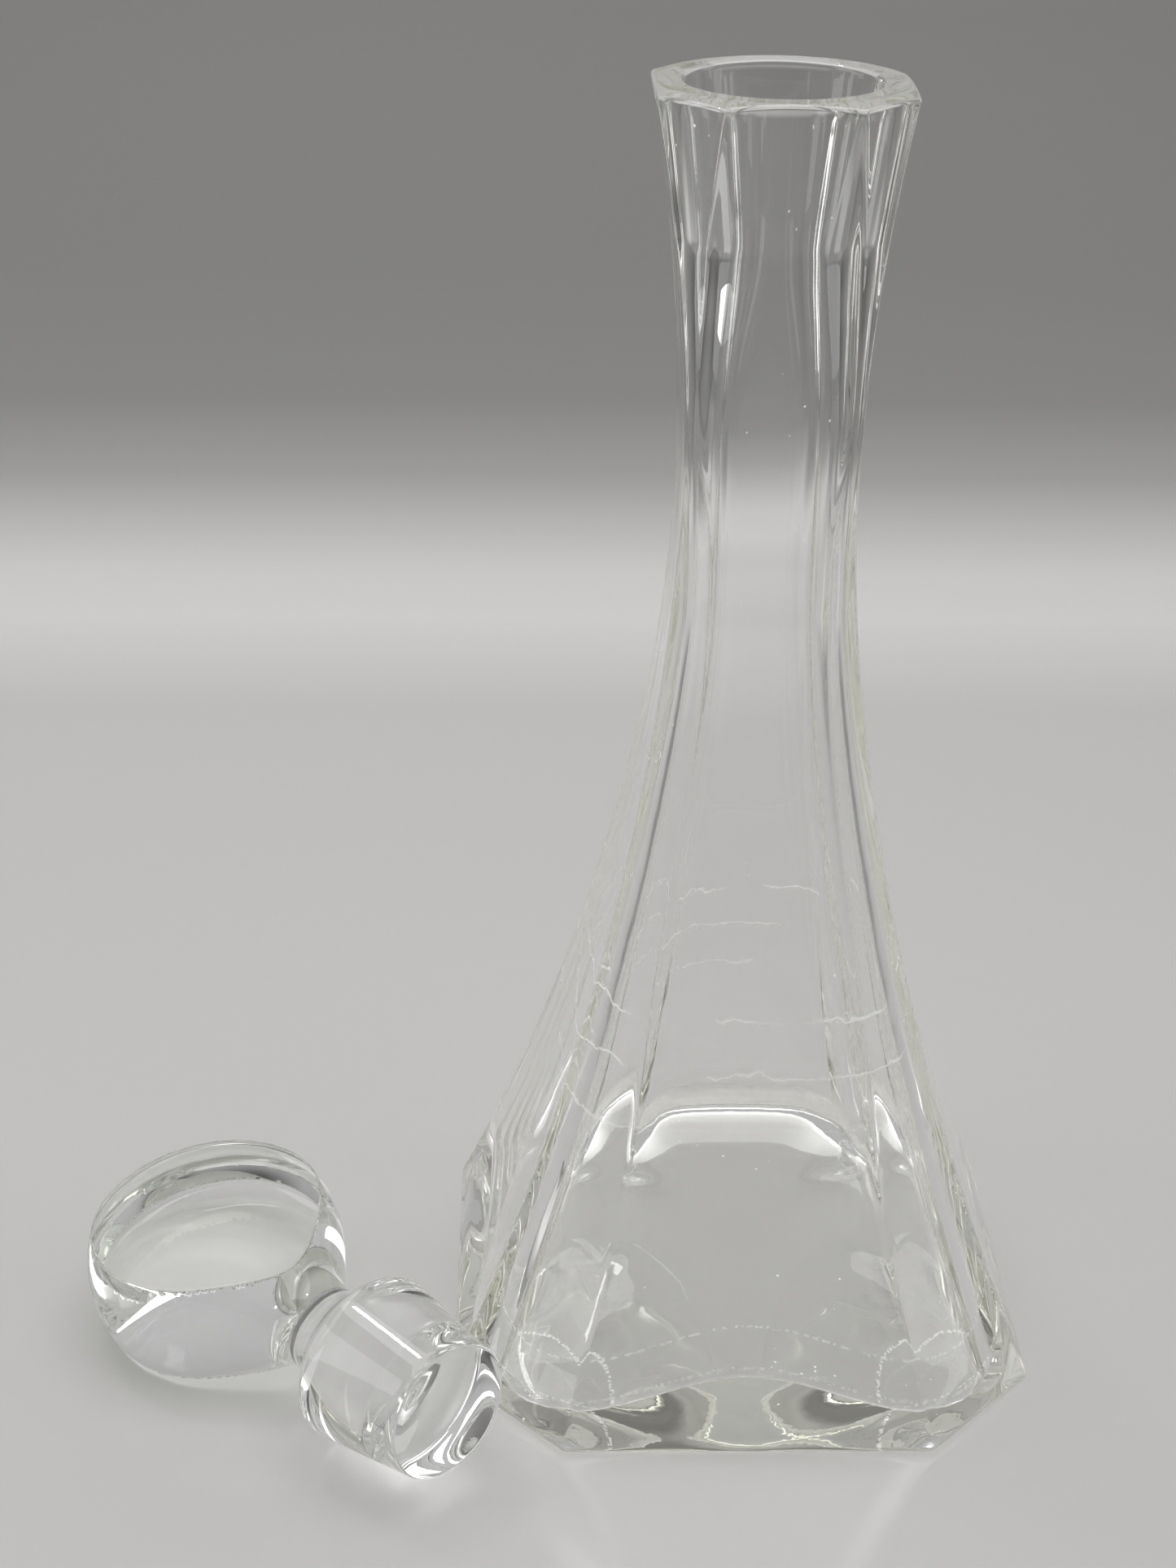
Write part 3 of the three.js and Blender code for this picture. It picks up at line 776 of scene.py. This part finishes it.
def sweep_material():
    """Soft grey, glossy near the object, with painted shade darkening the table's sides and the
    floor with depth, a painted highlight band across the floor and painted light brightening the
    upper wall.
    """
    mat = bpy.data.materials.new("Grey sweep")
    mat.use_nodes = True
    tree = mat.node_tree
    shader = tree.nodes["Principled BSDF"]
    shader.inputs["Specular IOR Level"].default_value = SWEEP_SPECULAR
    coords = node(tree, "ShaderNodeTexCoord")
    split = node(tree, "ShaderNodeSeparateXYZ")
    tree.links.new(coords.outputs["Object"], split.inputs[0])
    x, y, z = split.outputs["X"], split.outputs["Y"], split.outputs["Z"]
    dulling = ranged(tree, y, GLOSSY_TO, DULL_FROM, GLOSSY_ROUGHNESS, DULL_ROUGHNESS)
    tree.links.new(dulling, shader.inputs["Roughness"])

    # Painted shade and a painted highlight: the grey falls with depth and rises in a band across
    # the floor
    painted_light_ramp = node(tree, "ShaderNodeValToRGB")
    tree.links.new(y, painted_light_ramp.inputs["Fac"])
    stops = painted_light_ramp.color_ramp.elements
    for stop, (depth, grey) in zip(stops, SWEEP_PAINTED_SHADE_GREYS):
        stop.position = depth
        stop.color = (*grey, 1)
    for depth, painted_grey in SWEEP_PAINTED_LIGHT_STOPS:
        stops.new(depth).color = (painted_grey, painted_grey * PAINTED_LIGHT_GREEN, painted_grey * PAINTED_LIGHT_BLUE, 1)

    # Painted shade: the table's colour darkens beyond the pale middle toward its sides
    widening = maths(tree, "MULTIPLY", maths(tree, "MAXIMUM", y, PALE_FRONT), PALE_WIDENING)
    side = maths(tree, "SUBTRACT", maths(tree, "ABSOLUTE", x), widening)
    edge = ranged(tree, side, PALE_HALF_WIDTH, PALE_HALF_WIDTH + PALE_EDGE)
    side_shade = maths(tree, "MULTIPLY", edge, ranged(tree, y, *SIDE_PAINTED_SHADE_END, SIDE_PAINTED_SHADE, 0.0))
    side_shade = maths(tree, "MULTIPLY", side_shade,
                 ranged(tree, y, *SIDE_PAINTED_SHADE_FRONT, SIDE_PAINTED_SHADE_FRONT_SHARE, 1.0))
    # Painted light brightening the upper wall
    wall_painted_light = ranged(tree, z, *WALL_PAINTED_LIGHT_HEIGHTS, 1.0, WALL_PAINTED_LIGHT)
    # The depth ramp's grey, scaled by the painted light on the upper wall and the painted shade at
    # the sides
    painted_light_scale = node(tree, "ShaderNodeVectorMath", operation="SCALE")
    tree.links.new(painted_light_ramp.outputs["Color"], painted_light_scale.inputs[0])
    tree.links.new(maths(tree, "MULTIPLY", wall_painted_light, maths(tree, "SUBTRACT", 1.0, side_shade)),
                   painted_light_scale.inputs["Scale"])
    tree.links.new(painted_light_scale.outputs[0], shader.inputs["Base Color"])
    return mat


sweep = bpy.data.objects.new("Sweep", sweep_mesh())
bpy.context.scene.collection.objects.link(sweep)
sweep.data.materials.append(sweep_material())


def area_lamp(name, place, target, size, power):
    """A rectangular lamp of so many watts, in metres, that shines toward its target."""
    data = bpy.data.lights.new(name, "AREA")
    data.shape = "RECTANGLE"
    data.size, data.size_y = size
    data.energy = power
    lamp = bpy.data.objects.new(name, data)
    bpy.context.scene.collection.objects.link(lamp)
    lamp.location = place
    aim = Vector(target) - Vector(place)
    lamp.rotation_euler = aim.to_track_quat("-Z", "Y").to_euler()


area_lamp("Overhead softbox", (0.0, 0.05, 1.0), (0, 0, 0), size=(1.1, 0.8), power=5.8)
area_lamp("Ceiling lamp", (-0.33, 0.31, 0.92), (-0.05, -0.05, 0.0), size=(0.06, 0.06), power=0.45)
area_lamp("Left window", (-1.0, -0.1, 0.5), (0, 0, 0.08), size=(0.5, 0.7), power=1.8)
area_lamp("Right fill", (1.1, 0.1, 0.5), (0, 0, 0.08), size=(0.4, 0.6), power=0.9)

# The room's light by the direction it comes from, as parts of a unit arrow
ROOM_HEIGHTS = (0.05, 0.75)
ROOM_LOW, ROOM_HIGH = 0.26, 0.50
DIM_WALL_SIDE = (-0.85, -0.55)
DIM_WALL_HEIGHTS = (0.25, 0.50)
DIM_WALL_LOW, DIM_WALL_HIGH = 0.12, 0.80
ROOM_LAMP_SHARE = 0.65

world = bpy.data.worlds.new("Studio")
world.use_nodes = True
room = world.node_tree
room_light = room.nodes["Background"]
heading = node(room, "ShaderNodeTexCoord")
parts = node(room, "ShaderNodeSeparateXYZ")
room.links.new(heading.outputs["Generated"], parts.inputs[0])
brightness = scaled(room, parts.outputs["Z"], *ROOM_HEIGHTS, ROOM_LOW, ROOM_HIGH)
dim_wall = ranged(room, parts.outputs["Z"], *DIM_WALL_HEIGHTS, DIM_WALL_LOW, DIM_WALL_HIGH)
behind = scaled(room, parts.outputs["Y"], *DIM_WALL_SIDE, dim_wall, 1.0)
room.links.new(maths(room, "MULTIPLY", brightness, behind), room_light.inputs["Color"])
path = node(room, "ShaderNodeLightPath")
seen = maths(room, "MAXIMUM", path.outputs["Is Camera Ray"], path.outputs["Is Glossy Ray"])
seen = maths(room, "MAXIMUM", seen, path.outputs["Is Transmission Ray"])
strength = scaled(room, seen, 0.0, 1.0, ROOM_LAMP_SHARE, 1.0)
room.links.new(strength, room_light.inputs["Strength"])
bpy.context.scene.world = world

# Camera
CAMERA_PLACE = (-0.03432, -0.35948, 0.27326)
CAMERA_TURN = math.radians(1.332)
CAMERA_DOWN = math.radians(26.288)
CAMERA_ROLL = math.radians(0.824)
CAMERA_LENS = 57.81
CAMERA_FILM = 36

# Enough for light that runs along inside the thick glass to come out again
LIGHT_BOUNCES = 32

camera_data = bpy.data.cameras.new("Camera")
camera_data.lens = CAMERA_LENS
camera_data.sensor_width = CAMERA_FILM
camera = bpy.data.objects.new("Camera", camera_data)
bpy.context.scene.collection.objects.link(camera)
look = Vector((math.sin(CAMERA_TURN) * math.cos(CAMERA_DOWN),
               math.cos(CAMERA_TURN) * math.cos(CAMERA_DOWN), -math.sin(CAMERA_DOWN)))
level = Vector((math.cos(CAMERA_TURN), -math.sin(CAMERA_TURN), 0))
above = level.cross(look)
right = math.cos(CAMERA_ROLL) * level + math.sin(CAMERA_ROLL) * above
up = -math.sin(CAMERA_ROLL) * level + math.cos(CAMERA_ROLL) * above
camera.matrix_world = Matrix((
    (right.x, up.x, -look.x, CAMERA_PLACE[0]),
    (right.y, up.y, -look.y, CAMERA_PLACE[1]),
    (right.z, up.z, -look.z, CAMERA_PLACE[2]),
    (0, 0, 0, 1)))
bpy.context.scene.camera = camera

scene = bpy.context.scene
scene.view_settings.view_transform = "Standard"
scene.cycles.max_bounces = LIGHT_BOUNCES
scene.cycles.transmission_bounces = LIGHT_BOUNCES
scene.cycles.transparent_max_bounces = LIGHT_BOUNCES
scene.cycles.glossy_bounces = LIGHT_BOUNCES
